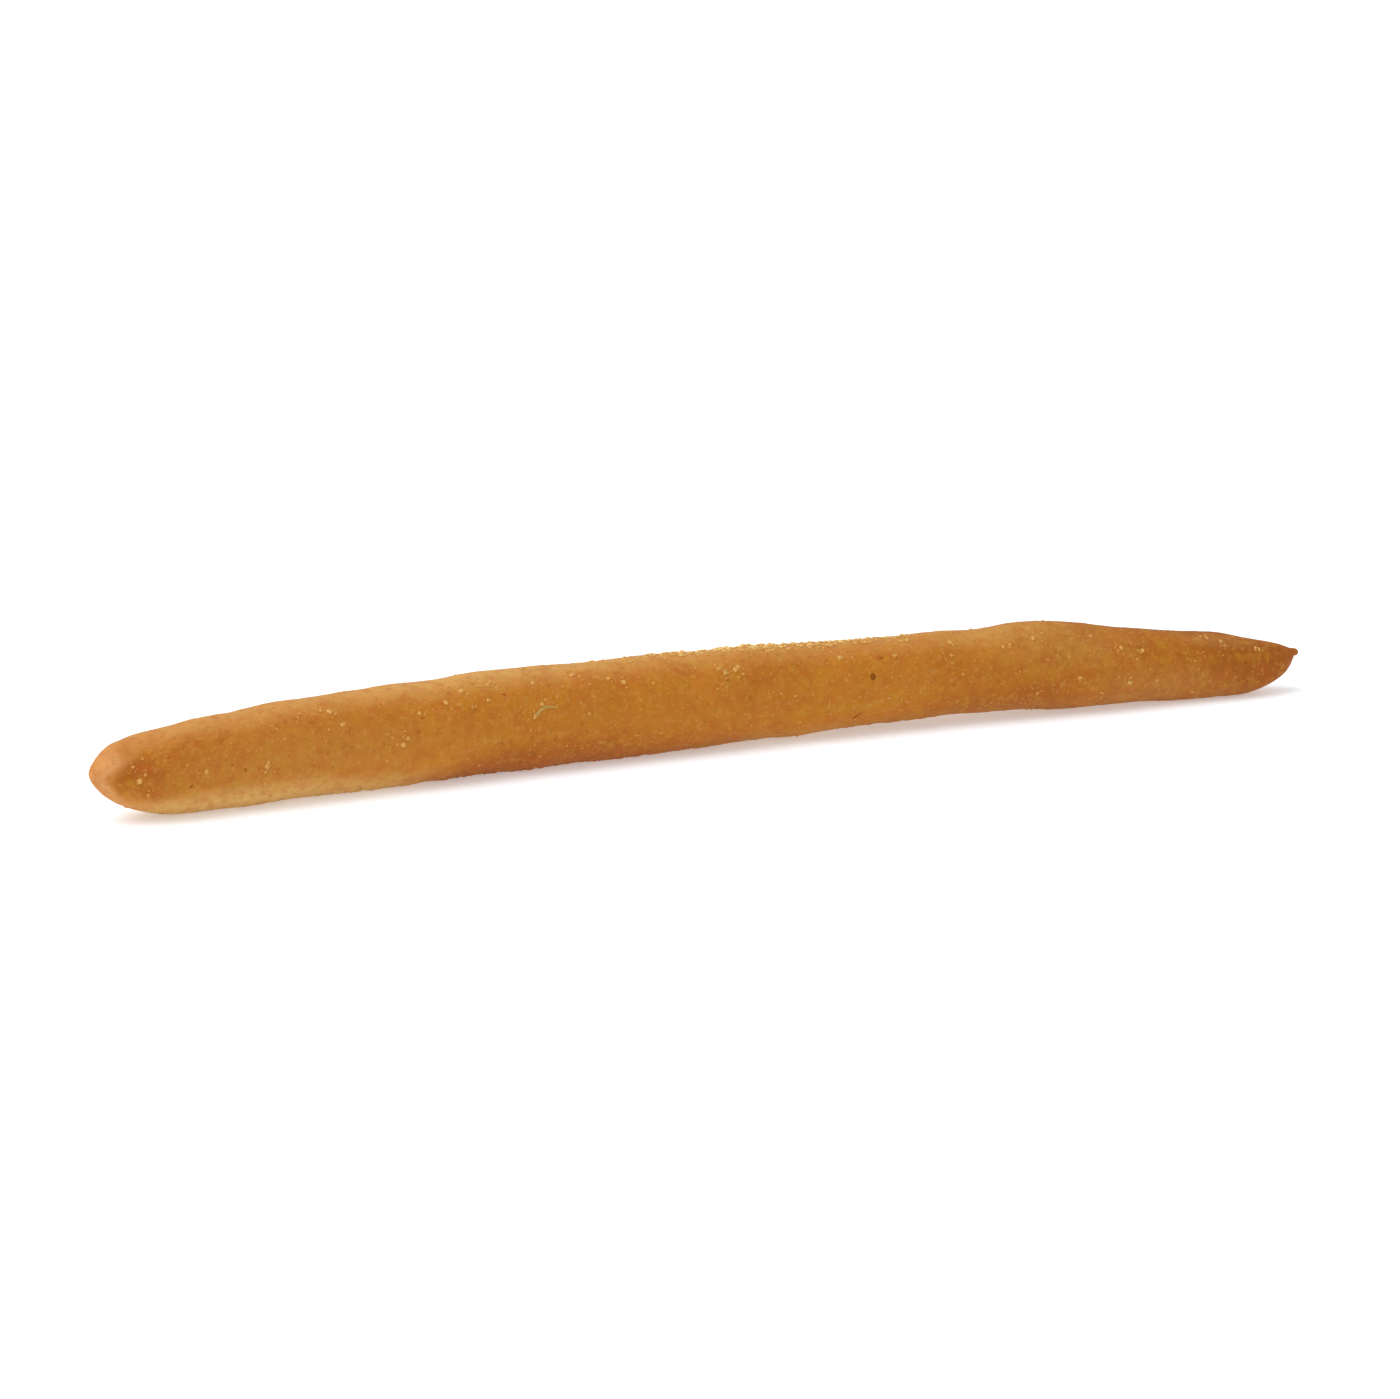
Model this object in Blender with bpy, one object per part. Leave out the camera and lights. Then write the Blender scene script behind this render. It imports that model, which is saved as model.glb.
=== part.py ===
"""Grissini breadstick: one hand-rolled, baked stick of dough at rest on a table.

The stick lies along X, blunt cut end at -X and pinched tip at +X, with +Z up.
The origin is the bottom centre of its box. Where it bears on the table its
underside is pressed to a narrow flat in z = 0. Lengths are in metres.
"""

import math

import bmesh
import bpy

MM = 0.001

# Driving sizes. A "share" is a share of LENGTH, counted from the blunt end.
LENGTH = 185.0 * MM
PRESS = 0.30 * MM          # how far the dough settled into its baking sheet

# The stick bows in plan: it is furthest back, +Y, at BEND_AT, and its two ends
# come forward by these amounts.
BEND_AT = 0.50
BEND_BLUNT = 5.1 * MM
BEND_TIP = 6.0 * MM

# Its thinner stretch stands clear of the table, between two bearing flats.
BRIDGE_HEIGHT = 0.95 * MM
BRIDGE_AT = 0.70
BRIDGE_REACH = 0.235

# Thickness at shares of the length, in mm: rolled by hand, thickest before the
# middle, with a knuckle where the bridge comes down again.
THICKNESS = (
    (0.00, 13.6),
    (0.08, 12.8),
    (0.18, 13.8),
    (0.36, 14.2),
    (0.50, 13.7),
    (0.60, 12.7),
    (0.71, 11.9),
    (0.79, 12.6),
    (0.86, 10.9),
    (0.93, 9.4),
    (1.00, 8.2),
)

# Blunt end: a full rounding, its middle a little above the centreline.
BLUNT_LENGTH = 21.0 * MM
BLUNT_FALL = 3.0
BLUNT_FULLNESS = 1.5
BLUNT_LIFT = 0.5 * MM

# Pinched end: an elliptical rounding whose point is drawn up to a small nub.
TIP_LENGTH = 12.0 * MM
TIP_LIFT = 1.6 * MM
TIP_LIFT_POWER = 1.3
NUB_RADIUS = 0.5 * MM
NUB_LENGTH = 1.0 * MM

# Unevenness of the hand-rolled skin: height, waves along the stick, waves round
# it and phase of each swell.
SWELLS = (
    (0.10 * MM, 5.3, 1, 0.4),
    (0.08 * MM, 8.7, 2, 2.1),
    (0.06 * MM, 13.1, 1, 4.0),
    (0.05 * MM, 17.9, 3, 1.2),
)

# Mesh: cross-sections along the stick, closer together at its ends, and the
# points of each.
RINGS = 96
SIDES = 32

CRUST_COLOUR = (0.47, 0.18, 0.045, 1.0)
CRUST_ROUGHNESS = 0.6


def clear_scene():
    for item in list(bpy.data.objects):
        bpy.data.objects.remove(item, do_unlink=True)


def thickness(share):
    """THICKNESS at any share of the length, joined smoothly."""
    last = len(THICKNESS) - 1
    index = 0
    while index < last - 1 and share > THICKNESS[index + 1][0]:
        index += 1

    def slope(i):
        (low, thin), (high, thick) = THICKNESS[max(i - 1, 0)], THICKNESS[min(i + 1, last)]
        return (thick - thin) / (high - low)

    (start, near), (end, far) = THICKNESS[index], THICKNESS[index + 1]
    step = end - start
    t = (share - start) / step
    return ((1 + 2 * t) * (1 - t) ** 2 * near
            + t * (1 - t) ** 2 * step * slope(index)
            + t ** 2 * (3 - 2 * t) * far
            + t ** 2 * (t - 1) * step * slope(index + 1)) * MM


def bend(share):
    """How far forward, -Y, the centreline has come from its place at BEND_AT."""
    if share < BEND_AT:
        return BEND_BLUNT * ((BEND_AT - share) / BEND_AT) ** 2
    return BEND_TIP * ((share - BEND_AT) / (1.0 - BEND_AT)) ** 2


def bridge(share):
    """How far the underside stands off the table."""
    off_centre = min(abs(share - BRIDGE_AT) / BRIDGE_REACH, 1.0)
    return BRIDGE_HEIGHT * (1.0 - off_centre ** 2) ** 2


def blunt_rounding(distance):
    """How much of the full thickness is left this far from the blunt end."""
    inward = max(1.0 - distance / BLUNT_LENGTH, 0.0)
    return (1.0 - inward ** BLUNT_FALL) ** (1.0 / BLUNT_FULLNESS)


def tip_rounding(distance):
    """How much of the full thickness is left this far from the pinched end."""
    inward = min(max(1.0 - (distance - NUB_LENGTH) / TIP_LENGTH, 0.0), 1.0)
    return math.sqrt(1.0 - inward ** 2)


def nub(distance):
    """Radius of the nub itself: a round end that runs on into the tip."""
    inward = max(1.0 - distance / NUB_RADIUS, 0.0)
    return NUB_RADIUS * math.sqrt(1.0 - inward ** 2)


def centre_and_radius(share):
    """The centreline's (y, z) and the stick's radius at a share of the length."""
    full = thickness(share) / 2
    from_blunt, from_tip = share * LENGTH, (1.0 - share) * LENGTH
    blunt, tip = blunt_rounding(from_blunt), tip_rounding(from_tip)
    radius = math.hypot(full * blunt * tip, nub(from_tip) * blunt)
    drawn_up = BLUNT_LIFT * (1.0 - blunt) + TIP_LIFT * (1.0 - tip) ** TIP_LIFT_POWER
    return -bend(share), full - PRESS + bridge(share) + drawn_up, radius


def swell(share, angle):
    """Height of the gentle unevenness at a place on the skin."""
    turn = 2 * math.pi
    return sum(height * math.sin(turn * waves * share + round_waves * angle + phase)
               for height, waves, round_waves, phase in SWELLS)


def ring_points(share):
    """One cross-section, pressed flat where it would reach below the table."""
    x = (share - 0.5) * LENGTH
    y, z, radius = centre_and_radius(share)
    full = thickness(share) / 2
    points = []
    for side in range(SIDES):
        angle = 2 * math.pi * side / SIDES
        reach = radius * (1.0 + swell(share, angle) / full)
        points.append((x, y + reach * math.sin(angle), max(z - reach * math.cos(angle), 0.0)))
    return points


def build_breadstick():
    """Bridge cross-sections from end to end, closed by a vertex at each tip."""
    mesh = bmesh.new()
    shares = [0.5 - 0.5 * math.cos(math.pi * ring / RINGS) for ring in range(RINGS + 1)]
    rings = [[mesh.verts.new(point) for point in ring_points(share)] for share in shares[1:-1]]
    for near, far in zip(rings, rings[1:]):
        for side in range(SIDES):
            after = (side + 1) % SIDES
            mesh.faces.new((near[side], near[after], far[after], far[side]))
    for share, ring in ((0.0, rings[0]), (1.0, rings[-1])):
        y, z, _ = centre_and_radius(share)
        end = mesh.verts.new(((share - 0.5) * LENGTH, y, z))
        for side in range(SIDES):
            mesh.faces.new((ring[side], ring[(side + 1) % SIDES], end))
    bmesh.ops.recalc_face_normals(mesh, faces=mesh.faces[:])
    bmesh.ops.triangulate(mesh, faces=mesh.faces[:])

    sides = [vertex.co.y for vertex in mesh.verts]
    bmesh.ops.translate(mesh, verts=mesh.verts[:], vec=(0.0, -(min(sides) + max(sides)) / 2, 0.0))
    data = bpy.data.meshes.new("breadstick")
    mesh.to_mesh(data)
    mesh.free()
    data.shade_smooth()
    return data


def crust_material():
    material = bpy.data.materials.new("crust")
    material.use_nodes = True
    shader = material.node_tree.nodes["Principled BSDF"]
    shader.inputs["Base Color"].default_value = CRUST_COLOUR
    shader.inputs["Roughness"].default_value = CRUST_ROUGHNESS
    shader.inputs["Metallic"].default_value = 0.0
    return material


clear_scene()
stick = bpy.data.objects.new("breadstick", build_breadstick())
stick.data.materials.append(crust_material())
bpy.context.scene.collection.objects.link(stick)
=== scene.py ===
"""Looks of the grissini breadstick: its baked skin, semolina dusting and bran
flecks, a pale floor, soft studio light and the camera.

Work is done in millimetres on the stick and turned into metres at the end. A
place on the skin is given as (d, angle): d is the distance from the blunt end,
and angle is in degrees, 0 at the front, 90 on top, 180 at the back, 270 below.
"""

import math

import bmesh
import bpy
import numpy as np
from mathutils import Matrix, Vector, noise


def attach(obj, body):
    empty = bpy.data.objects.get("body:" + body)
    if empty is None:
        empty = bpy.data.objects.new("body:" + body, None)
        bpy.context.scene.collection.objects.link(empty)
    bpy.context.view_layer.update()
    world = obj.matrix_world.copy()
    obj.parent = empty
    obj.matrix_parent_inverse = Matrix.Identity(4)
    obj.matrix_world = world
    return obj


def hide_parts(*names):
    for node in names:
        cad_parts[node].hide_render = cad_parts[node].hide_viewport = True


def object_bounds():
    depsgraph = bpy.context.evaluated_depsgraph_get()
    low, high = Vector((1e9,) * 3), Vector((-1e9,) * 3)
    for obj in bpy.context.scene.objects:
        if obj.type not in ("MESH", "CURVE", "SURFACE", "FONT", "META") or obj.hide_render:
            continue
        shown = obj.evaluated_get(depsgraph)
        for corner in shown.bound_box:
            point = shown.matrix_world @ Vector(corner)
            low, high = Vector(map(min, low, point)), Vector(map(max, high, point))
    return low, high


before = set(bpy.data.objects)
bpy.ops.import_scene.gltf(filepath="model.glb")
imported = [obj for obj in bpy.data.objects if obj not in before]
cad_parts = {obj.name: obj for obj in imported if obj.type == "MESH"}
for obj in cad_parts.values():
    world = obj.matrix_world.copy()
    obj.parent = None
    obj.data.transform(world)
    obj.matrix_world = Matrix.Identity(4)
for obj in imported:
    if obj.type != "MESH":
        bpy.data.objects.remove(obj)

CAD_LOW, CAD_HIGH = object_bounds()
MM = 0.001

# Skin mesh: steps along the stick and round it.
STEPS_ALONG = 620
STEPS_ROUND = 150
CROSS_SECTION_GAP = 0.02      # CAD vertices closer than this along X are one ring
KEPT_HARMONICS = 12           # of a ring's outline, which rounds off its facets

# Relief of the skin, in mm: height and size of each layer of unevenness, then the pocks.
RELIEF_LAYERS = ((0.035, 7.0), (0.034, 2.8), (0.028, 1.3), (0.014, 0.7))
POCK_DEPTH, POCK_SIZE, POCK_SHARE, POCK_SOFTNESS = 0.08, 3.4, 0.30, 0.35
RAGGED_HEIGHT, RAGGED_SIZE, RAGGED_LAYERS = 0.20, 0.9, 3
SKIN_INSET = 0.05
RELIEF_FROM = 2.0             # mm of radius at which the relief has its full height

# Blunt end: a paler cap, partly a painted highlight where the end faces the light, and a
# shoulder behind it that stands up most at one place.
CAP_REACH, CAP_FADE = 7.2, 5.0
SHOULDER_AT, SHOULDER_WIDTH, SHOULDER_ANGLE = 3.4, 1.6, 85
SHOULDER_HEIGHT = (0.06, 0.26)
# The face behind the cap, darker partly from browning and partly as painted shade in the
# pressed dimple there: where it starts, the angle its edge comes furthest forward at, and
# how the edge curves back from there in mm per degree squared; then its middle, half turn
# and softness in degrees, and where it fades out and over how many mm.
FACE_START, FACE_EDGE_ANGLE, FACE_CURVE = 1.6, -12, 0.0011
FACE_ANGLE, FACE_HALF_TURN, FACE_SOFTNESS = 1, 57, 26.0
FACE_END, FACE_FADE, FACE_BAKED_AND_SHADE = 24.0, 18.0, 0.34
# Pinched end: folds that run into the tip, and where they start and are full; the nub.
FOLD_REACH, FOLD_DEPTH, FOLD_COUNT, FOLD_SWAY = 10.0, 0.10, 5, 1.3
FOLD_ENDS = (0.8, 3.0)
NUB_AT, NUB_WIDTH, NUB_SWELL, NUB_RADIUS = 0.85, 0.75, 0.16, 0.3

# Dents: (d, angle, radius, depth).
DENTS = (
    (5.0, 20, 3.0, 0.22),
    (7.5, 22, 5.0, 0.24),
    (13.0, -10, 0.7, 0.10),
    (61.0, 45, 0.6, 0.16),
    (119.0, 45, 0.6, 0.12),
    (175.0, 15, 0.9, 0.10),
    (180.0, 10, 1.6, 0.14),
)

# Ragged skin where the dough was torn from the tray. Patches are given as
# (d, angle, half length in mm, half turn in degrees).
RAGGED = (
    (50.0, 288, 34.0, 34),
    (62.0, 245, 26.0, 26),
    (120.0, 270, 16.0, 40),
    (66.0, 278, 30.0, 22),
    (88.0, 278, 26.0, 22),
)

# Colour of the skin. Each shade has an even level or a patchy one, then patches,
# (how much, patch), and spots, (how much, d, angle, radius). The bake also has
# climbs along the stick, (how much, from d, to d).
BROAD_NOISE, SMALL_NOISE, HUE_NOISE = 12.0, 2.4, 2.0
BAKED_LEVEL, BAKED_BROAD, BAKED_SMALL = 0.20, 0.21, 0.05
BAKED_CLIMBS = ((0.26, 118.0, 160.0), (0.50, 158.0, 184.0), (0.45, 174.0, 183.0))
BAKED_AND_SHADE_PATCHES = (
    (-0.12, 19.0, 6, 9.0, 36),
    # This row and the next are painted shade along the underside of the middle.
    (0.45, 60.0, 306, 16.0, 56),
    (0.55, 75.0, 308, 30.0, 58),
    (0.40, 168.0, 100, 26.0, 40),
    # This row and the next are painted shade along the underside towards the tip.
    (0.30, 134.0, 316, 22.0, 48),
    (0.20, 150.0, 324, 22.0, 50),
    (0.30, 177.0, 75, 12.0, 50),
    (0.16, 141.0, 68, 15.0, 36),
    (0.12, 161.0, 50, 13.0, 34),
)
# Darker and redder patches in the face behind the cap: partly browning, partly painted shade in
# its dimple.
FACE_BAKED_AND_SHADE_PATCH = (0.30, 5.8, 6, 4.6, 38)
HUE_SPREAD = (0.02, 0.60)
RED_LEVEL, RED_CLIMB = 0.32, (0.14, 172.0, 183.0)
# The first red patch is painted warm shade along the underside of the middle.
RED_PATCHES = ((0.50, 70.0, 296, 32.0, 46), (0.22, 14.0, 36, 14.0, 36))
FACE_RED_PATCH = (0.30, 6.0, 8, 4.6, 36)
RED_SPOTS = (
    (0.35, 88.5, 53, 2.6),
    (0.9, 61.0, 42, 0.8),
    (0.7, 118.5, 45, 0.7),
    (0.6, 51.5, 46, 0.7),
    (0.5, 53.5, 35, 0.8),
    (0.8, 175.0, 16, 0.8),
)
OCHRE_LEVEL = 0.45
OCHRE_PATCHES = (
    # This row is painted reflected light: a yellow glow on the lower front.
    (0.6, 112.0, -16, 16.0, 15),
    (0.4, 58.0, 60, 5.0, 14),
    (0.3, 50.0, 8, 4.0, 10),
    (0.45, 12.0, -8, 8.0, 18),
    (0.6, 141.0, 68, 15.0, 36),
)
OCHRE_SPOTS = ((0.7, 4.6, -3, 0.9), (0.5, 57.0, 78, 1.2), (0.5, 174.8, 84, 1.2))
FLOURY_PATCHES = (
    (0.12, 28.0, 0, 34.0, 70),
    (0.35, 58.0, 84, 34.0, 40),
    (0.12, 138.0, 76, 18.0, 36),
    (0.35, 107.0, 284, 15.0, 42),
    (0.20, 146.0, 45, 18.0, 50),
    (0.20, 171.0, 62, 9.0, 28),
    (0.16, 162.0, -24, 16.0, 52),
)
# Paler skin on top and underneath starts and is full at these sines of the angle: the
# upward side, its very top, the underside and its pressed flat, and the cap's own top
# and underside, which are less pale. On top it is partly flour and partly a painted sheen;
# underneath, apart from the pressed flat, partly a paler underside and partly painted
# light bounced up from below.
UPWARD, CREST, UNDER, FLAT = (0.65, 1.0), (0.88, 1.0), (0.36, 0.98), (0.93, 1.0)
UNDER_LIFT = 0.18             # how much further up it comes on the blunt third
# The cap is painted paler, partly a painted highlight of the end that faces the light.
CAP_PALE, CAP_TOP, CAP_UNDER, CAP_UNDERSIDE = 0.78, 0.15, 0.22, (0.3, 0.9)
# Pale underneath is partly a paler underside and partly painted light bounced up from below,
# most on the blunt third.
PALE_UNDER, PALE_BLUNT, PALE_FAR, PALE_SANDY = 0.10, 0.60, 0.12, 0.25
# Pale on top is partly a flour dusting and partly a painted sheen along the top.
PALE_UPWARD, PALE_UPWARD_BLUNT = 0.12, 0.16
# Floury underneath is partly painted light bounced up from below, and on top partly a painted
# sheen; the pressed flat is flour.
FLOUR_AND_BOUNCE_UNDER, FLOUR_AND_SHEEN_UPWARD, FLOUR_AND_SHEEN_CREST, FLOURY_FLAT = 1.15, 0.20, 0.15, 0.45

# Dusting. Patches, each with how many times the even dusting it holds.
DUSTED = (
    (72.0, 90, 17.0, 20, 4.0),
    (90.0, 92, 14.0, 20, 7.0),
    (104.0, 90, 12.0, 24, 11.0),
    (119.0, 90, 11.0, 24, 11.0),
    (129.0, 88, 6.0, 14, 5.0),
    (99.0, 112, 30.0, 30, 3.0),
    (58.0, 62, 4.5, 12, 9.0),
    (66.0, 20, 4.0, 8, 6.0),
    (96.0, 46, 2.2, 6, 16.0),
    (112.0, -16, 15.0, 14, 3.0),
    (11.0, -20, 6.0, 18, 3.0),
    (74.0, 42, 16.0, 26, 2.5),
    (152.0, 34, 10.0, 24, 1.5),
    (48.0, 200, 22.0, 35, 3.5),
    (135.0, 235, 20.0, 30, 3.0),
    (80.0, 285, 30.0, 25, 2.0),
    (20.0, 150, 12.0, 30, 2.0),
)
SANDY_RIM = (103.0, 94, 40.0, 30)
LOWER_EDGE = (58.0, 285, 42.0, 34)
LEVEL, PROUD = 0.72, 0.34     # share of a grain under the skin, and how much less there
SPARSE_ENDS = (26.0, 34.0)    # mm of the blunt end and of the tip with less dusting
BARE_ENDS = (3.0, 2.0)        # and with none
STRETCH = 1.45                # most a grain is longer than wide
TINT, SANDY_TINT = 0.27, 1.1  # how pale grains are at most, and the sandy ones besides
SANDY_GROWTH = 0.6            # how much larger coarse grains are where it is sandy
SEMOLINA_COUNT, SEMOLINA_SIZE = 5000, (0.06, 0.14)
COARSE_COUNT, COARSE_SIZE = 1300, (0.12, 0.26)
# A grain's height over its width, and how uneven it is.
GRAIN_RISE, GRAIN_UNEVEN = 0.75, 0.26
# Where coarse grains lie bunched: patches, each with how many clusters it holds.
BUNCHES = (
    (14, 5, 11.0, 28, 8),
    (42, 30, 10.0, 28, 7),
    (59, 62, 2.5, 5, 6),
    (60, 42, 8.0, 16, 8),
    (80, 45, 12.0, 20, 4),
    (95, 46, 2.5, 4, 5),
    (104, 78, 24.0, 5, 14),
    (115, 50, 16.0, 25, 5),
    (150, 25, 14.0, 42, 11),
    (175, 55, 6.0, 18, 5),
)
BUNCHED_SIZE = (0.22, 0.36)
# A cluster is one grain with smaller ones round it: how many, how widely scattered and
# how small, as shares of its half width. They are sunk by their own share; larger ones
# are paler: least and random tint, and by how much over what width.
CLUSTER_COUNT, CLUSTER_SPREAD, CLUSTER_SIZES = 3, 2.8, (0.35, 0.65)
CLUSTER_SUNK = 0.56
CLUSTER_TINT, CLUSTER_RANDOM_TINT, CLUSTER_PALER, CLUSTER_PALER_FROM = 0.10, 0.10, 2.0, 0.19
# A curled crumb, from and to (d, angle), its rise over the straight line in degrees
# and its half width.
CURLED_CRUMB = ((65, 15), (68, 23), 4.0, 0.30)
CURLED_TINT = 0.34
TRAIL_LUMPS, TRAIL_STRETCH, TRAIL_TAPER = 15, 1.8, 0.6
# Bran flecks: (d, angle, half length, half width, turn in degrees, how red).
BRAN_COUNT, BRAN_SIZE, BRAN_STRETCH = 12, (0.08, 0.16), 1.8
BRAN_RISE, BRAN_SUNK, BRAN_UNEVEN = 0.45, 0.50, 0.15
BRAN_PLACES = (
    (117, 20, 0.50, 0.38, 80, 0.0),
    (48, 30, 0.22, 0.16, 20, 0.8),
    (21, 0, 0.30, 0.22, 60, 0.9),
    (13, -10, 0.36, 0.24, 10, 1.0),
    (61, 45, 0.30, 0.18, 150, 0.9),
    (119, 45, 0.42, 0.22, 20, 0.9),
    (175, 15, 0.28, 0.20, 70, 0.3),
)
# A thin dark scratch, given like the curled crumb.
SCRATCH = ((114.5, -36), (115.5, -29), 0, 0.15)
SCRATCH_RED = 0.7

DEGREES_PER_MM = 8.4          # round the stick, at its usual thickness
SEED = 20

# The skin's map is four lengths in a square, with this margin round each.
MAP_LENGTHS, MAP_MARGIN = 4, 0.006

# Studio: angles in degrees, sizes in metres.
FLOOR_HALF, FLOOR_COLOUR, FLOOR_GLOW = 6.0, (0.85, 0.91, 0.97, 1.0), 0.32
WORLD_STRENGTH = 0.62
KEY_AZIMUTH, KEY_ELEVATION, KEY_DISTANCE, KEY_SIZE = -100, 60, 1.2, 1.4
KEY_POWER, KEY_COLOUR = 11.65, (1.0, 0.99, 0.97)
CAMERA_AZIMUTH, CAMERA_ELEVATION, CAMERA_DISTANCE = -24.8, 14.0, 1.2
CAMERA_TARGET, CAMERA_LENS, CAMERA_SENSOR = (0, 0, 7 * MM), 221.0, 36.0


def unit(values, low, high):
    """0 below low, 1 above high and a smooth climb between them."""
    t = np.clip((values - low) / (high - low), 0.0, 1.0)
    return t * t * (3.0 - 2.0 * t)


# ---------------------------------------------------------------- the skin


def cad_rings():
    """The CAD stick's cross-sections from end to end: x, centre y and z, outline.

    An outline is the radius in STEPS_ROUND directions, in mm. Direction 0 points
    to the front, -Y, and the directions turn over the top.
    """
    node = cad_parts["breadstick"]
    points = np.array([node.matrix_world @ v.co for v in node.data.vertices]) / MM
    points = points[np.argsort(points[:, 0])]
    breaks = np.flatnonzero(np.diff(points[:, 0]) > CROSS_SECTION_GAP) + 1
    directions = np.arange(STEPS_ROUND) * 2 * np.pi / STEPS_ROUND
    rings = []
    for group in np.split(points, breaks):
        x = group[:, 0].mean()
        y, z = (group[:, 1:].min(0) + group[:, 1:].max(0)) / 2
        if np.ptp(group[:, 1]) < CROSS_SECTION_GAP:
            rings.append((x, y, z, np.zeros(STEPS_ROUND)))
            continue
        out_y, out_z = group[:, 1] - y, group[:, 2] - z
        angle = np.arctan2(out_z, -out_y)
        radius = np.interp(directions, angle, np.hypot(out_y, out_z), period=2 * np.pi)
        waves = np.fft.rfft(radius)
        waves[KEPT_HARMONICS:] = 0.0
        rings.append((x, y, z, np.fft.irfft(waves, STEPS_ROUND)))
    x, y, z, outlines = zip(*rings)
    return np.column_stack((x, y, z, outlines))


def between(rows, places):
    """Rows at fractional indices, on a smooth curve through the whole ones."""
    slopes = np.gradient(rows, axis=0)
    index = np.minimum(places.astype(int), len(rows) - 2)
    t = (places - index)[:, None]
    return ((1 + 2 * t) * (1 - t) ** 2 * rows[index] + t * (1 - t) ** 2 * slopes[index]
            + t ** 2 * (3 - 2 * t) * rows[index + 1] + t ** 2 * (t - 1) * slopes[index + 1])


class Skin:
    """The smooth stick as a grid: row i along it, column j round it."""

    def __init__(self):
        rings = cad_rings()
        fine = np.linspace(0, len(rings) - 1, 40 * len(rings))
        profile = between(rings, fine)
        girth = profile[:, 3:].mean(1)
        run = np.concatenate(([0], np.cumsum(np.hypot(np.diff(profile[:, 0]), np.diff(girth)))))
        steps = np.interp(np.linspace(0, run[-1], STEPS_ALONG + 1), run, fine)
        rows = between(rings, steps)
        self.x, self.y, self.z = rows[:, :3].T
        self.radius = np.maximum(rows[:, 3:] - SKIN_INSET, 0.0)
        self.radius[[0, -1]] = 0.0
        self.direction = np.arange(STEPS_ROUND) * 2 * np.pi / STEPS_ROUND
        self.d = np.repeat((self.x - self.x[0])[:, None], STEPS_ROUND, axis=1)
        self.to_tip = self.d[-1, 0] - self.d
        self.angle = np.repeat(np.degrees(self.direction)[None, :], STEPS_ALONG + 1, axis=0)

    def points(self, radius):
        """Grid points in mm for a grid of radii."""
        grid = np.empty((STEPS_ALONG + 1, STEPS_ROUND, 3))
        grid[..., 0] = self.x[:, None]
        grid[..., 1] = self.y[:, None] - radius * np.cos(self.direction)
        grid[..., 2] = self.z[:, None] + radius * np.sin(self.direction)
        return grid

    def off(self, angle):
        """Degrees from each grid point to an angle, the short way round."""
        return (self.angle - angle + 180.0) % 360.0 - 180.0

    def near(self, d, angle, radius):
        """1 at a place on the skin, falling smoothly to 0 at the radius in mm."""
        across = np.radians(self.off(angle)) * self.radius
        away = np.hypot(self.d - d, across) / radius
        return np.where(away < 1.0, (1.0 - np.minimum(away, 1.0) ** 2) ** 2, 0.0)

    def patch(self, d, angle, half_length, half_turn):
        """Like near, but a long patch: half its length in mm, half its turn in degrees."""
        away = np.hypot((self.d - d) / half_length, self.off(angle) / half_turn)
        return np.where(away < 1.0, (1.0 - np.minimum(away, 1.0) ** 2) ** 2, 0.0)

    def patches(self, rows):
        """The sum of patches, each given with how much it adds."""
        return sum(amount * self.patch(*place) for amount, *place in rows)

    def spots(self, rows):
        """The sum of small round spots, each given with how much it adds."""
        return sum(amount * self.near(*place) for amount, *place in rows)

    def climb(self, amount, start, end):
        """0 up to start, and amount from end on to the tip."""
        return amount * unit(self.d, start, end)


def noise_on(grid, size, layers=1, seed=0):
    """Perlin noise in about -1..1 at every grid point, for features this many mm wide."""
    shift = Vector((seed * 17.3, seed * 5.1, seed * 9.7))
    flat = grid.reshape(-1, 3) / size
    if layers == 1:
        values = [noise.noise(Vector(p) + shift) for p in flat]
    else:
        values = [noise.fractal(Vector(p) + shift, 1.0, 2.0, layers) for p in flat]
    return np.array(values).reshape(grid.shape[:-1])


def relief(skin, grid):
    """How far each point of the skin stands out, in mm."""
    height = np.zeros(skin.d.shape)
    for index, (amount, size) in enumerate(RELIEF_LAYERS):
        height += amount * noise_on(grid, size, seed=index + 1)
    pocks = noise_on(grid, POCK_SIZE, seed=7)
    height -= POCK_DEPTH * unit(pocks, POCK_SHARE, POCK_SHARE + POCK_SOFTNESS)
    for d, angle, radius, depth in DENTS:
        height -= depth * skin.near(d, angle, radius)
    least, most = SHOULDER_HEIGHT
    facing = 0.5 + 0.5 * np.cos(np.radians(skin.off(SHOULDER_ANGLE)))
    shoulder = np.exp(-((skin.d - SHOULDER_AT) / SHOULDER_WIDTH) ** 2)
    height += (least + (most - least) * facing) * shoulder
    ragged = sum(skin.patch(*place) for place in RAGGED)
    height += RAGGED_HEIGHT * ragged * noise_on(grid, RAGGED_SIZE, RAGGED_LAYERS, seed=9)
    turn = np.radians(skin.angle)
    fold = np.sin(turn * FOLD_COUNT + FOLD_SWAY * np.sin(turn))
    close = unit(FOLD_REACH - skin.to_tip, 0.0, FOLD_REACH) * unit(skin.to_tip, *FOLD_ENDS)
    height += FOLD_DEPTH * fold * close
    nub = NUB_SWELL * np.exp(-((skin.to_tip - NUB_AT) / NUB_WIDTH) ** 2)
    return (height * np.minimum(skin.radius / RELIEF_FROM, 1.0)
            + nub * np.minimum(skin.radius / NUB_RADIUS, 1.0))


def skin_points(skin):
    """The finished skin in mm: relief added, and held inside the CAD box."""
    grid = skin.points(skin.radius)
    grid = skin.points(np.maximum(skin.radius + relief(skin, grid), 0.0))
    low, high = np.array(CAD_LOW) / MM, np.array(CAD_HIGH) / MM
    return np.clip(grid, low, high)


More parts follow.
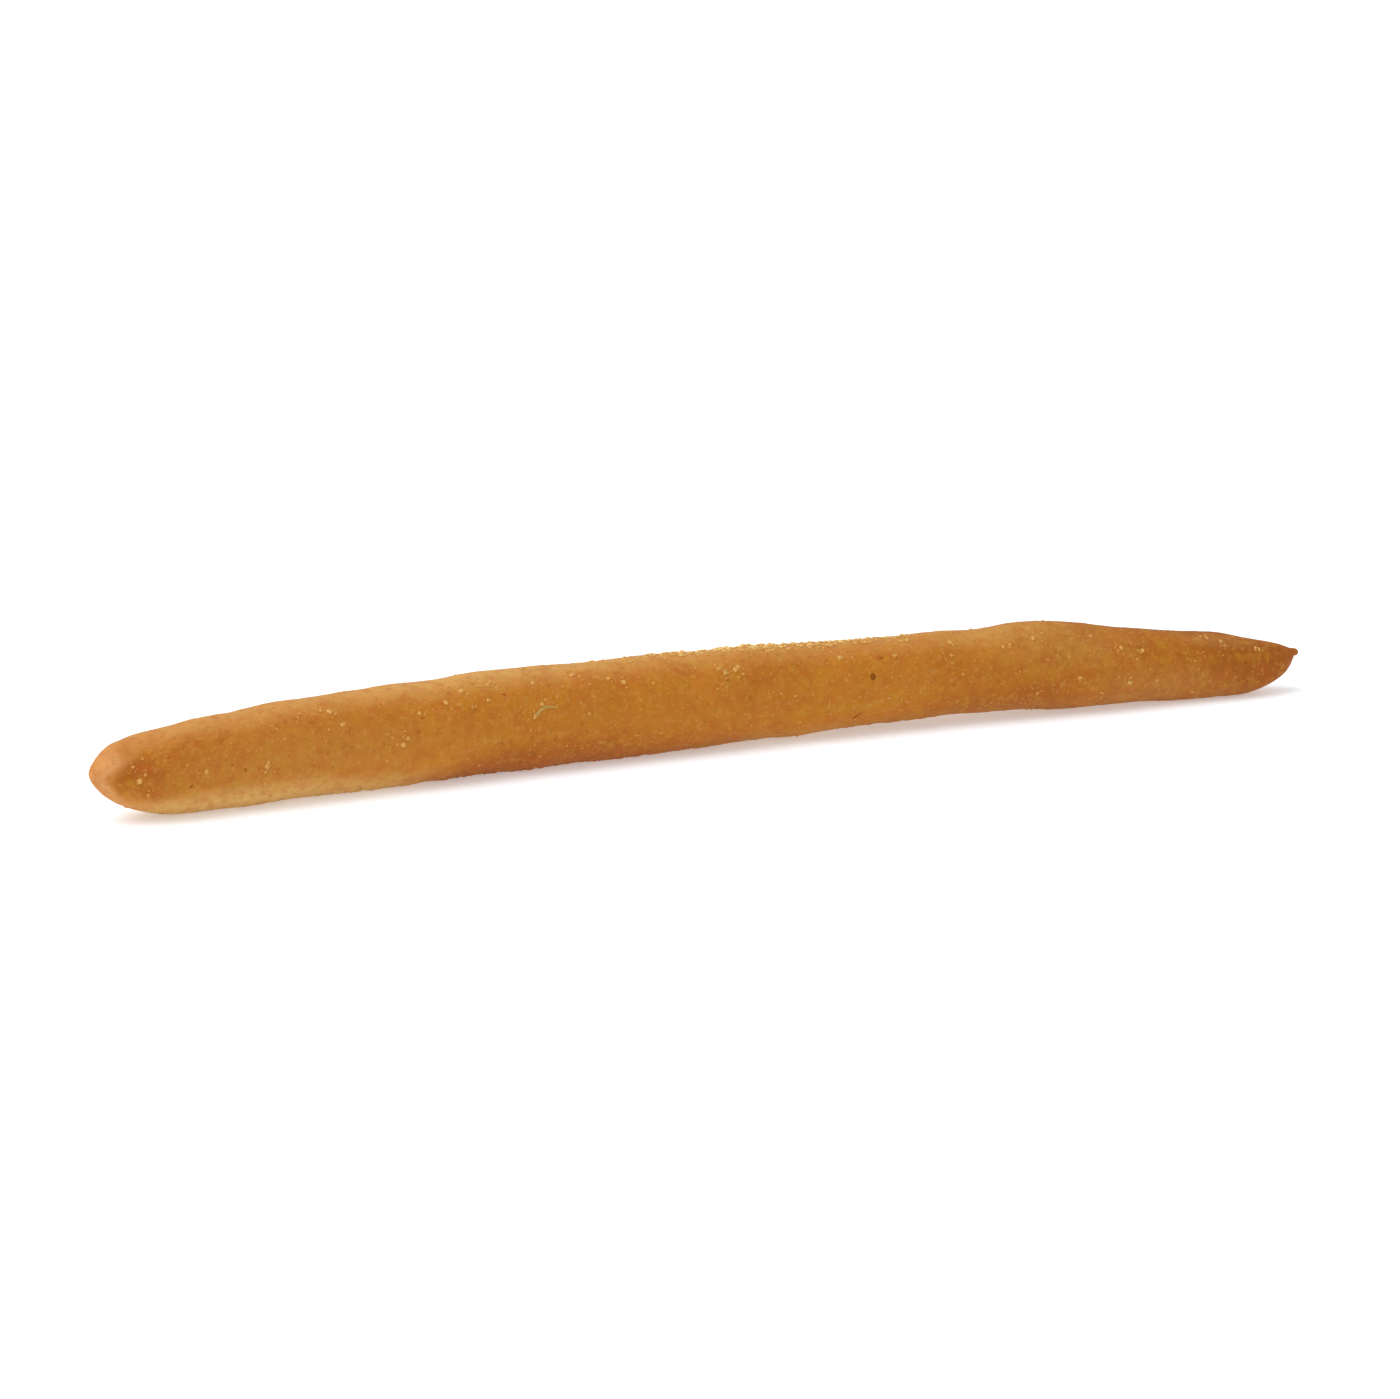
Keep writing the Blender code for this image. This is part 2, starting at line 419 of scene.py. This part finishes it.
def browned_and_shaded_face(skin, small):
    """1 on the face behind the blunt end's cap, 0 away from it. The face is darker partly from
    browning and partly as painted shade in the dimple there.
    """
    from_edge = np.abs(skin.off(FACE_EDGE_ANGLE))
    edge = FACE_START + FACE_CURVE * from_edge ** 2
    face = unit(skin.d - edge + 0.5 * small, -0.8, 1.1 + 0.03 * from_edge)
    inward = FACE_HALF_TURN - np.abs(skin.off(FACE_ANGLE)) + 8.0 * small
    return face * unit(inward, 0.0, FACE_SOFTNESS)


def paler_skin(skin, face, small):
    """How pale and how floury the skin is. Both carry painted light: pinkish on the cap, partly
    a painted highlight; floury along the top, partly a painted sheen; and pale and floury
    underneath, partly painted light bounced up from below."""
    d, rise = skin.d, np.sin(np.radians(skin.angle))
    # Upward and crest: partly a flour dusting, partly a painted sheen along the top.
    upward = unit(rise, *UPWARD) * unit(d, 3.0, 7.0) * unit(150.0 - d, 0.0, 14.0)
    crest = unit(rise, *CREST) * unit(d, 8.0, 14.0) * unit(110.0 - d, 0.0, 24.0)
    # Underneath: partly a paler underside, partly painted light bounced up from below, reaching
    # further up on the blunt third.
    lift = UNDER_LIFT * unit(44.0 - d, 0.0, 18.0) * unit(d, 3.0, 15.0)
    under = unit(lift - rise, *UNDER) * (0.95 + 0.2 * small)
    blunt, thick = unit(10.5 - d, 0.0, 6.0), unit(54.0 - d, 0.0, 12.0)
    # The cap: partly a painted highlight of the end that faces the light.
    cap = (1.0 - face) * unit(CAP_REACH + 1.5 * small - d, 0.0, CAP_FADE)

    pale = under * (PALE_UNDER + PALE_BLUNT * blunt + PALE_FAR * unit(d, 120.0, 140.0))
    pale += (PALE_UPWARD + PALE_UPWARD_BLUNT * unit(40.0 - d, 0.0, 20.0)) * upward
    on_cap = CAP_PALE - CAP_TOP * unit(rise, *UPWARD) - CAP_UNDER * unit(-rise, *CAP_UNDERSIDE)
    pale = pale * (1.0 - cap) + cap * on_cap
    pale += PALE_SANDY * skin.patch(*SANDY_RIM)

    flour_and_painted_light = FLOUR_AND_BOUNCE_UNDER * under * thick * (1.0 - blunt) + FLOUR_AND_SHEEN_UPWARD * upward
    flour_and_painted_light += FLOURY_FLAT * unit(-rise, *FLAT) + FLOUR_AND_SHEEN_CREST * crest
    flour_and_painted_light += skin.patches(FLOURY_PATCHES)
    return pale, flour_and_painted_light * (1.0 - cap)


def paint(skin, grid):
    """How much of each colour the skin has at every point, 0 to 1."""
    broad = noise_on(grid, BROAD_NOISE, layers=3, seed=11)
    small = noise_on(grid, SMALL_NOISE, layers=3, seed=12)
    hue = noise_on(grid, HUE_NOISE, layers=2, seed=15)
    face = browned_and_shaded_face(skin, small)

    # The bake includes painted shade: under the stick and in the dimple behind the cap.
    baked_and_shade = BAKED_LEVEL + BAKED_BROAD * broad + BAKED_SMALL * small
    baked_and_shade += sum(skin.climb(*climb) for climb in BAKED_CLIMBS) + skin.patches(BAKED_AND_SHADE_PATCHES)
    baked_and_shade += FACE_BAKED_AND_SHADE * face * unit(FACE_END - skin.d, 0.0, FACE_FADE)
    baked_and_shade += skin.patches([FACE_BAKED_AND_SHADE_PATCH]) * face

    # Red includes painted warm shade under the middle and in the dimple behind the cap.
    red = RED_LEVEL * unit(hue, *HUE_SPREAD) + skin.climb(*RED_CLIMB)
    red += skin.spots(RED_SPOTS) + skin.patches(RED_PATCHES)
    red += skin.patches([FACE_RED_PATCH]) * face

    # Ochre includes painted reflected light, a yellow glow on the lower front.
    ochre = OCHRE_LEVEL * unit(-hue, *HUE_SPREAD)
    ochre += skin.spots(OCHRE_SPOTS) + skin.patches(OCHRE_PATCHES)

    pale, flour_and_painted_light = paler_skin(skin, face, small)
    shares = dict(baked_and_shade=baked_and_shade, red=red, ochre=ochre, pale=pale, flour_and_painted_light=flour_and_painted_light)
    return {name: np.clip(share, 0.0, 1.0) for name, share in shares.items()}


def skin_faces():
    """Quads of the grid, and a fan of triangles to one vertex at each end."""
    ring = np.arange(1, STEPS_ALONG)[:, None] * STEPS_ROUND
    j = np.arange(STEPS_ROUND)[None, :]
    after = (j + 1) % STEPS_ROUND
    ring = ring - STEPS_ROUND + 1
    near, far = ring[:-1], ring[1:]
    quads = np.stack((near + j, far + j, far + after, near + after), -1).reshape(-1, 4)
    last = (STEPS_ALONG - 1) * STEPS_ROUND + 1
    j, after = j[0], after[0]
    first_fan = [(0, int(a) + 1, int(b) + 1) for a, b in zip(j, after)]
    end = ring[-1, 0]
    last_fan = [(last, int(end + b), int(end + a)) for a, b in zip(j, after)]
    return quads.tolist(), first_fan, last_fan


def grid_to_vertices(grid):
    """One value for each mesh vertex: each end's row is a single vertex."""
    inner = grid[1:-1].reshape((-1,) + grid.shape[2:])
    return np.concatenate((grid[:1, 0], inner, grid[-1:, 0]))


def make_crust(skin):
    grid = skin_points(skin)
    quads, first_fan, last_fan = skin_faces()
    mesh = bpy.data.meshes.new("crust")
    mesh.from_pydata((grid_to_vertices(grid) * MM).tolist(), [], quads + first_fan + last_fan)
    mesh.shade_smooth()
    for name, values in paint(skin, grid).items():
        attribute = mesh.attributes.new(name, "FLOAT", "POINT")
        attribute.data.foreach_set("value", grid_to_vertices(values).astype(np.float32))
    lay_out_map(mesh)
    crust = bpy.data.objects.new("crust", mesh)
    bpy.context.scene.collection.objects.link(crust)
    return crust, grid


def lay_out_map(mesh):
    """The UV map: the skin cut into four lengths that lie in a square, two by two."""
    half, inner = 0.5, 1 - 2 * MAP_MARGIN
    length, bottom = STEPS_ALONG // MAP_LENGTHS, 3 * STEPS_ROUND // 4
    places = np.empty((len(mesh.loops), 2))
    corners = np.empty(len(mesh.loops), int)
    mesh.loops.foreach_get("vertex_index", corners)
    row = np.where(corners == 0, 0, (corners - 1) // STEPS_ROUND + 1)
    column = (corners - 1 - bottom) % STEPS_ROUND
    for face in mesh.polygons:
        at = slice(face.loop_start, face.loop_start + face.loop_total)
        rows, columns = row[at].copy(), column[at].astype(float)
        ends = (corners[at] == 0) | (rows == STEPS_ALONG)
        ring = columns[~ends]
        if ring.max() - ring.min() > STEPS_ROUND / 2:
            ring[ring < STEPS_ROUND / 2] += STEPS_ROUND
        columns[~ends] = ring
        columns[ends] = ring.mean()
        quarter = rows.min() // length
        along = (rows - quarter * length) / length
        around = columns / STEPS_ROUND
        places[at, 0] = (quarter % 2 + MAP_MARGIN + inner * along) * half
        places[at, 1] = (quarter // 2 + MAP_MARGIN + inner * around) * half
    mesh.uv_layers.new(name="OFBake").uv.foreach_set("vector", places.ravel())


# ---------------------------------------------------------------- the dusting


def icosphere(subdivisions):
    """Vertices and triangles of a unit icosphere."""
    ball = bmesh.new()
    bmesh.ops.create_icosphere(ball, subdivisions=subdivisions, radius=1.0)
    points = np.array([v.co for v in ball.verts])
    faces = np.array([[v.index for v in f.verts] for f in ball.faces])
    ball.free()
    return points, faces


class Surface:
    """Places on the finished skin, with their outward normals."""

    def __init__(self, skin, grid):
        self.skin, self.grid = skin, grid
        along, around = np.gradient(grid, axis=0), np.roll(grid, -1, 1) - np.roll(grid, 1, 1)
        normal = np.cross(along, around)
        length = np.linalg.norm(normal, axis=-1, keepdims=True)
        self.normal = normal / np.maximum(length, 1e-9)
        self.area = length[..., 0]
        self.area[[0, -1]] = 0.0

    def at(self, d, angle):
        """The row and column of a place, with their fractions."""
        row = np.interp(d, self.skin.d[:, 0], np.arange(STEPS_ALONG + 1))
        return row, (angle % 360) / 360 * STEPS_ROUND

    def read(self, grid, rows, columns):
        """A grid's values at fractional rows and columns."""
        above = np.clip(rows.astype(int), 0, STEPS_ALONG - 1)
        left = np.floor(columns).astype(int)
        shape = (-1,) + (1,) * (grid.ndim - 2)
        down, across = (rows - above).reshape(shape), (columns - left).reshape(shape)
        left, right = left % STEPS_ROUND, (left + 1) % STEPS_ROUND
        upper = grid[above, left] * (1 - across) + grid[above, right] * across
        lower = grid[above + 1, left] * (1 - across) + grid[above + 1, right] * across
        return upper * (1 - down) + lower * down

    def draw(self, rng, count, patches):
        """Random rows and columns, by area and by how heavy the dusting is."""
        weight = 0.3 + 0.7 * (unit(self.skin.d, 0.0, SPARSE_ENDS[0])
                              * unit(self.skin.to_tip, 0.0, SPARSE_ENDS[1]))
        for d, angle, half_length, half_turn, times in patches:
            weight += times * self.skin.patch(d, angle, half_length, half_turn)
        weight *= self.area * unit(self.skin.d - BARE_ENDS[0], 0.0, 2.0)
        weight *= self.skin.to_tip > BARE_ENDS[1]
        picked = rng.choice(weight.size, size=count, p=(weight / weight.sum()).ravel())
        rows, columns = np.unravel_index(picked, weight.shape)
        return rows + rng.uniform(-0.5, 0.5, count), columns + rng.uniform(-0.5, 0.5, count)


class Lumps:
    """Small lumps on the skin, joined in one mesh: some at random, some at set places."""

    def __init__(self, surface, seed, count, sizes, stretch, patches=()):
        self.surface, self.rng = surface, np.random.default_rng(seed)
        self.rows, self.columns = surface.draw(self.rng, count, patches)
        smallest, largest = sizes
        self.wide = smallest + (largest - smallest) * self.rng.random(count) ** 2
        self.long = self.wide * self.rng.uniform(1.0, stretch, count)
        self.turn = self.rng.uniform(0, 360, count)

    def add(self, d, angle, long, wide, turn):
        row, column = self.surface.at(d, angle)
        self.rows, self.columns = np.append(self.rows, row), np.append(self.columns, column)
        self.long, self.wide = np.append(self.long, long), np.append(self.wide, wide)
        self.turn = np.append(self.turn, turn)

    def cluster(self, d, angle, half_width):
        """A lump with smaller ones scattered close round it."""
        self.add(d, angle, 1.15 * half_width, half_width, 40 * d)
        for _ in range(CLUSTER_COUNT):
            along, across = self.rng.normal(0.0, CLUSTER_SPREAD * half_width, 2)
            small = half_width * self.rng.uniform(*CLUSTER_SIZES)
            self.add(d + along, angle + DEGREES_PER_MM * across, 1.2 * small, small,
                     self.rng.uniform(0, 360))

    def bunch(self, d, angle, half_length, half_turn, count):
        """Clusters at random in one patch of the skin."""
        for _ in range(count):
            along, round_it = self.rng.uniform(-1, 1, 2)
            size = self.rng.uniform(*BUNCHED_SIZE)
            self.cluster(d + half_length * along, angle + half_turn * round_it, size)

    def trail(self, start, end, bow, half_width):
        """Overlapping lumps along a bowed line, which read as one thin curl."""
        steps = np.linspace(0.0, 1.0, TRAIL_LUMPS)
        d = start[0] + (end[0] - start[0]) * steps
        angle = start[1] + (end[1] - start[1]) * steps + 4.0 * bow * steps * (1.0 - steps)
        radius = self.surface.skin.radius[round(self.surface.at(d[0], 0)[0]), 0]
        climb = np.radians(np.gradient(angle)) * radius
        turn = np.degrees(np.arctan2(climb, np.gradient(d)))
        for index, step in enumerate(steps):
            wide = half_width * (1.0 - TRAIL_TAPER * step)
            self.add(d[index], angle[index], TRAIL_STRETCH * half_width, wide, turn[index])

    def patch(self, place):
        """How far into a patch each lump is, 0 to 1."""
        return self.surface.read(self.surface.skin.patch(*place), self.rows, self.columns)

    def make(self, name, tint, detail, rise, sunk, uneven):
        """The piece. rise is a lump's height over its width. sunk, the share of it that
        is under the skin, and tint are a value for each lump."""
        points, faces = icosphere(detail)
        centre = self.surface.read(self.surface.grid, self.rows, self.columns)
        up = self.surface.read(self.surface.normal, self.rows, self.columns)
        up /= np.linalg.norm(up, axis=1, keepdims=True)
        ahead = np.array([1.0, 0.0, 0.0]) - up * up[:, :1]
        ahead /= np.linalg.norm(ahead, axis=1, keepdims=True)
        aside = np.cross(up, ahead)
        turn = np.radians(self.turn)[:, None]
        ahead, aside = (ahead * np.cos(turn) + aside * np.sin(turn),
                        aside * np.cos(turn) - ahead * np.sin(turn))
        swell = 1.0 + uneven * self.rng.uniform(-1, 1, (len(centre), len(points), 1))
        along, across, high = np.moveaxis(points * swell, -1, 0)[..., None]
        high = (high + 1.0 - 2.0 * sunk[:, None, None]) * rise
        verts = (centre[:, None] + along * (ahead * self.long[:, None])[:, None]
                 + across * (aside * self.wide[:, None])[:, None]
                 + high * (up * self.wide[:, None])[:, None])
        low, top = np.array(CAD_LOW) / MM, np.array(CAD_HIGH) / MM
        inside = ((verts >= low) & (verts <= top)).all((1, 2))
        verts, tint = verts[inside], tint[inside]
        faces = faces + np.arange(len(verts))[:, None, None] * len(points)

        mesh = bpy.data.meshes.new(name)
        mesh.from_pydata((verts.reshape(-1, 3) * MM).tolist(), [], faces.reshape(-1, 3).tolist())
        attribute = mesh.attributes.new("tint", "FLOAT", "POINT")
        attribute.data.foreach_set("value", np.repeat(tint, len(points)).astype(np.float32))
        piece = bpy.data.objects.new(name, mesh)
        bpy.context.scene.collection.objects.link(piece)
        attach(piece, "root")
        return piece


def make_semolina(surface, name, seed, count, sizes, detail, heavy, bunches=()):
    """Grains of semolina. They lie level in the crust, but stand proud of it where the
    dusting is heaviest and along the torn lower edge. heavy is how much of the patches'
    extra dusting there is, and of the extra size where it is sandy."""
    patches = [(*place, heavy * times) for *place, times in DUSTED]
    lumps = Lumps(surface, seed, count, sizes, STRETCH, patches)
    for bunch in bunches:
        lumps.bunch(*bunch)
    if bunches:
        lumps.trail(*CURLED_CRUMB)
    sandy = lumps.patch(SANDY_RIM)
    sunk = LEVEL - PROUD * np.maximum(sandy, lumps.patch(LOWER_EDGE))
    larger = 1.0 + SANDY_GROWTH * heavy * sandy
    lumps.wide, lumps.long = lumps.wide * larger, lumps.long * larger
    tints = TINT * lumps.rng.random(len(lumps.rows)) ** 1.5 + SANDY_TINT * sandy
    if bunches:
        clustered = lumps.wide[count:]
        wider = np.maximum(clustered - CLUSTER_PALER_FROM, 0.0)
        tints[count:] = CLUSTER_TINT + CLUSTER_PALER * wider
        tints[count:] += CLUSTER_RANDOM_TINT * lumps.rng.random(len(clustered))
        tints[-TRAIL_LUMPS:] = CURLED_TINT
        sunk[count:] = CLUSTER_SUNK
    return lumps.make(name, tints, detail, GRAIN_RISE, sunk, GRAIN_UNEVEN)


def make_bran(surface):
    lumps = Lumps(surface, SEED + 2, BRAN_COUNT, BRAN_SIZE, BRAN_STRETCH)
    for *place, _ in BRAN_PLACES:
        lumps.add(*place)
    lumps.trail(*SCRATCH)
    tint = np.full(len(lumps.rows), SCRATCH_RED)
    tint[:BRAN_COUNT] = lumps.rng.random(BRAN_COUNT)
    tint[BRAN_COUNT:BRAN_COUNT + len(BRAN_PLACES)] = [red for *_, red in BRAN_PLACES]
    sunk = np.full(len(tint), BRAN_SUNK)
    return lumps.make("bran_flecks", tint, 2, BRAN_RISE, sunk, BRAN_UNEVEN)


# ---------------------------------------------------------------- materials


class Nodes:
    """A small helper that adds and joins the nodes of one material."""

    def __init__(self, name):
        self.material = bpy.data.materials.new(name)
        self.material.use_nodes = True
        self.tree = self.material.node_tree
        self.shader = self.tree.nodes["Principled BSDF"]

    def add(self, kind, inputs=(), **settings):
        node = self.tree.nodes.new(kind)
        for name, value in settings.items():
            setattr(node, name, value)
        for key, value in dict(inputs).items():
            self.feed(node.inputs[key], value)
        return node

    def feed(self, socket, value):
        if isinstance(value, bpy.types.NodeSocket):
            self.tree.links.new(value, socket)
        else:
            socket.default_value = value

    def attribute(self, name):
        return self.add("ShaderNodeAttribute", attribute_name=name).outputs["Fac"]

    def millimetres(self):
        place = self.add("ShaderNodeTexCoord").outputs["Object"]
        scale = (1 / MM,) * 3
        return self.add("ShaderNodeMapping", {"Vector": place, "Scale": scale}).outputs["Vector"]

    def noise(self, place, size, detail=3.0, roughness=0.55):
        inputs = {"Vector": place, "Scale": 1 / size, "Detail": detail, "Roughness": roughness}
        return self.add("ShaderNodeTexNoise", inputs).outputs["Fac"]

    def warp(self, place, size, amount):
        """The place, pushed about by noise, to make round things uneven."""
        push = self.add("ShaderNodeTexNoise", {"Vector": place, "Scale": 1 / size})
        inputs = {0: push.outputs["Color"], 1: (amount,) * 3, 2: place}
        return self.add("ShaderNodeVectorMath", inputs, operation="MULTIPLY_ADD").outputs[0]

    def specks(self, place, size, share):
        """1 in the middle of the specks, with nothing in most of the cells between."""
        node = self.add("ShaderNodeTexVoronoi", {"Vector": place, "Scale": 1 / size})
        cell = self.add("ShaderNodeSeparateColor", {"Color": node.outputs["Color"]})
        here = self.ramp(cell.outputs["Red"], 1.0 - share, 1.0 - 0.7 * share)
        return self.math("MULTIPLY", here, self.ramp(node.outputs["Distance"], 0.55, 0.20))

    def ramp(self, value, low, high, start=0.0, end=1.0):
        inputs = {"Value": value, "From Min": low, "From Max": high,
                  "To Min": start, "To Max": end}
        node = self.add("ShaderNodeMapRange", inputs, interpolation_type="SMOOTHSTEP")
        return node.outputs["Result"]

    def math(self, operation, first, second):
        node = self.add("ShaderNodeMath", operation=operation, use_clamp=False)
        self.feed(node.inputs[0], first)
        self.feed(node.inputs[1], second)
        return node.outputs[0]

    def mix(self, amount, first, second, blend="MIX"):
        node = self.add("ShaderNodeMix", data_type="RGBA", blend_type=blend)
        self.feed(node.inputs["Factor"], amount)
        self.feed(node.inputs[6], first)
        self.feed(node.inputs[7], second)
        return node.outputs[2]

    def bump(self, height, distance, strength, normal=None):
        inputs = {"Height": height, "Distance": distance, "Strength": strength}
        if normal is not None:
            inputs["Normal"] = normal
        return self.add("ShaderNodeBump", inputs).outputs["Normal"]

    def finish(self, **sockets):
        for name, value in sockets.items():
            self.feed(self.shader.inputs[name.replace("_", " ")], value)
        return self.material


# Colours of the crust and of what lies on it.
GOLDEN = (0.500, 0.178, 0.018, 1.0)
# The browned and reddened tones below also serve as painted shade under the stick and behind the
# cap.
BROWNED_AND_SHADED = (0.330, 0.094, 0.010, 1.0)
REDDENED_AND_SHADED = (0.440, 0.108, 0.016, 1.0)
OCHRE = (0.470, 0.205, 0.015, 1.0)
# This pale tone also serves as painted light: a highlight on the cap, a sheen on top and light
# bounced up from below.
PALE = (0.690, 0.335, 0.135, 1.0)
# This yellow also serves as painted light: a sheen along the top and light bounced up from
# below.
FLOUR_AND_LIGHT_YELLOW = (0.670, 0.395, 0.125, 1.0)
FLOURY = (0.640, 0.330, 0.085, 1.0)
YELLOW = (0.620, 0.300, 0.025, 1.0)
SPECK_DARK = (0.240, 0.062, 0.005, 1.0)
GRAIN_BAKED = (0.545, 0.225, 0.036, 1.0)
GRAIN_PALE = (0.800, 0.530, 0.190, 1.0)
BRAN_BROWN = (0.260, 0.078, 0.005, 1.0)
BRAN_RED = (0.380, 0.115, 0.008, 1.0)
GLOSS = 0.06                  # dry: hardly any mirror-like shine
GRAIN_ROUGH, BRAN_ROUGH = 0.60, 0.65


def crust_material():
    n = Nodes("baked_crust")
    place = n.millimetres()
    mottle = n.noise(place, 3.2, 4.0)
    fine = n.noise(place, 1.1, 4.0, 0.6)
    grain = n.noise(place, 0.30, 3.0, 0.6)
    uneven = n.warp(place, 0.45, 0.9)
    flour = n.specks(uneven, 0.60, 0.34)
    corn = n.specks(uneven, 0.85, 0.20)
    pores = n.specks(uneven, 0.75, 0.14)

    # The bake's share includes painted shade under the stick and in the dimple behind the cap.
    baked_and_shade = n.math("ADD", n.attribute("baked_and_shade"), n.ramp(mottle, 0.35, 0.65, -0.06, 0.06))
    colour = n.mix(n.ramp(baked_and_shade, 0.0, 1.0), GOLDEN, BROWNED_AND_SHADED)
    ochre = n.math("MULTIPLY", n.attribute("ochre"), n.ramp(fine, 0.3, 0.7, 0.6, 1.0))
    colour = n.mix(ochre, colour, OCHRE)
    pale = n.math("MULTIPLY", n.attribute("pale"), n.ramp(mottle, 0.25, 0.7, 0.6, 1.0))
    colour = n.mix(pale, colour, PALE)
    # The floury share carries painted light too: a sheen along the top and light bounced up from
    # below.
    flour_and_painted_light = n.math("MULTIPLY", n.attribute("flour_and_painted_light"), n.ramp(fine, 0.25, 0.7, 0.75, 1.0))
    colour = n.mix(flour_and_painted_light, colour, FLOUR_AND_LIGHT_YELLOW)
    colour = n.mix(n.attribute("red"), colour, REDDENED_AND_SHADED)
    for specks, most, tone in ((pores, 0.25, SPECK_DARK), (corn, 0.26, YELLOW),
                               (flour, 0.28, FLOURY)):
        colour = n.mix(n.math("MULTIPLY", specks, most), colour, tone)
    for mottling, low, high, most, tone in ((fine, 0.52, 0.74, 0.26, FLOURY),
                                            (fine, 0.48, 0.28, 0.24, BROWNED_AND_SHADED),
                                            (grain, 0.58, 0.80, 0.18, FLOURY),
                                            (grain, 0.42, 0.24, 0.26, SPECK_DARK)):
        colour = n.mix(n.ramp(mottling, low, high, 0.0, most), colour, tone)

    rough = n.ramp(fine, 0.3, 0.7, 0.50, 0.64)
    raised = n.math("SUBTRACT", n.math("ADD", flour, corn), pores)
    normal = n.bump(grain, 0.06 * MM, 0.8, n.bump(fine, 0.12 * MM, 0.7))
    normal = n.bump(raised, 0.04 * MM, 0.7, normal)
    n.shader.subsurface_method = "RANDOM_WALK"
    return n.finish(Base_Color=colour, Roughness=rough, Normal=normal,
                    Specular_IOR_Level=GLOSS, Sheen_Weight=0.08, Sheen_Roughness=0.45,
                    Sheen_Tint=(1.0, 0.74, 0.42, 1.0), Subsurface_Weight=0.10,
                    Subsurface_Radius=(1.0, 0.45, 0.2), Subsurface_Scale=0.6 * MM)


def grain_material(name, first, second, rough):
    n = Nodes(name)
    shade = n.noise(n.millimetres(), 0.25, 3.0)
    colour = n.mix(n.attribute("tint"), first, second)
    colour = n.mix(n.ramp(shade, 0.40, 0.75, 0.0, 0.30), colour, first)
    n.shader.subsurface_method = "RANDOM_WALK"
    return n.finish(Base_Color=colour, Roughness=n.ramp(shade, 0.3, 0.7, rough, rough + 0.12),
                    Specular_IOR_Level=GLOSS, Subsurface_Weight=0.5,
                    Subsurface_Radius=(1.0, 0.6, 0.3), Subsurface_Scale=0.25 * MM)


# ---------------------------------------------------------------- the studio


def stand_off(item, azimuth, elevation, distance, target):
    """Add a light or camera that looks at a target from these angles."""
    a, e = math.radians(azimuth), math.radians(elevation)
    back = Vector((math.sin(a) * math.cos(e), -math.cos(a) * math.cos(e), math.sin(e)))
    item.location = Vector(target) + back * distance
    item.rotation_euler = (-back).to_track_quat("-Z", "Y").to_euler()
    bpy.context.scene.collection.objects.link(item)


def make_floor():
    mesh = bpy.data.meshes.new("floor")
    half = FLOOR_HALF
    corners = [(-half, -half, 0), (half, -half, 0), (half, half, 0), (-half, half, 0)]
    mesh.from_pydata(corners, [], [(0, 1, 2, 3)])
    floor = bpy.data.objects.new("floor", mesh)
    bpy.context.scene.collection.objects.link(floor)
    material = Nodes("floor_white").finish(
        Base_Color=FLOOR_COLOUR, Roughness=0.9,
        Emission_Color=(1.0, 1.0, 1.0, 1.0), Emission_Strength=FLOOR_GLOW)
    floor.data.materials.append(material)


def make_key_light():
    data = bpy.data.lights.new("key", "AREA")
    data.shape, data.size = "DISK", KEY_SIZE
    data.energy, data.color = KEY_POWER, KEY_COLOUR
    light = bpy.data.objects.new("key", data)
    stand_off(light, KEY_AZIMUTH, KEY_ELEVATION, KEY_DISTANCE, (0, 0, 0))


def make_world():
    world = bpy.data.worlds.new("studio")
    world.use_nodes = True
    background = world.node_tree.nodes["Background"]
    background.inputs["Color"].default_value = (1.0, 1.0, 1.0, 1.0)
    background.inputs["Strength"].default_value = WORLD_STRENGTH
    bpy.context.scene.world = world
    bpy.context.scene.view_settings.view_transform = "Standard"


def make_camera():
    data = bpy.data.cameras.new("camera")
    data.lens, data.sensor_width = CAMERA_LENS, CAMERA_SENSOR
    camera = bpy.data.objects.new("camera", data)
    stand_off(camera, CAMERA_AZIMUTH, CAMERA_ELEVATION, CAMERA_DISTANCE, CAMERA_TARGET)
    bpy.context.scene.camera = camera


skin = Skin()
crust, skin_grid = make_crust(skin)
crust.data.materials.append(crust_material())
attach(crust, "root")
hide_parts("breadstick")

surface = Surface(skin, skin_grid)
semolina = grain_material("semolina", GRAIN_BAKED, GRAIN_PALE, GRAIN_ROUGH)
fine = make_semolina(surface, "semolina_fine", SEED, SEMOLINA_COUNT, SEMOLINA_SIZE, 1, 0.5)
coarse = make_semolina(surface, "semolina_coarse", SEED + 1, COARSE_COUNT, COARSE_SIZE, 2, 1.0,
                       BUNCHES)
for piece in (fine, coarse):
    piece.data.materials.append(semolina)
bran = grain_material("bran", BRAN_BROWN, BRAN_RED, BRAN_ROUGH)
make_bran(surface).data.materials.append(bran)

make_floor()
make_world()
make_key_light()
make_camera()
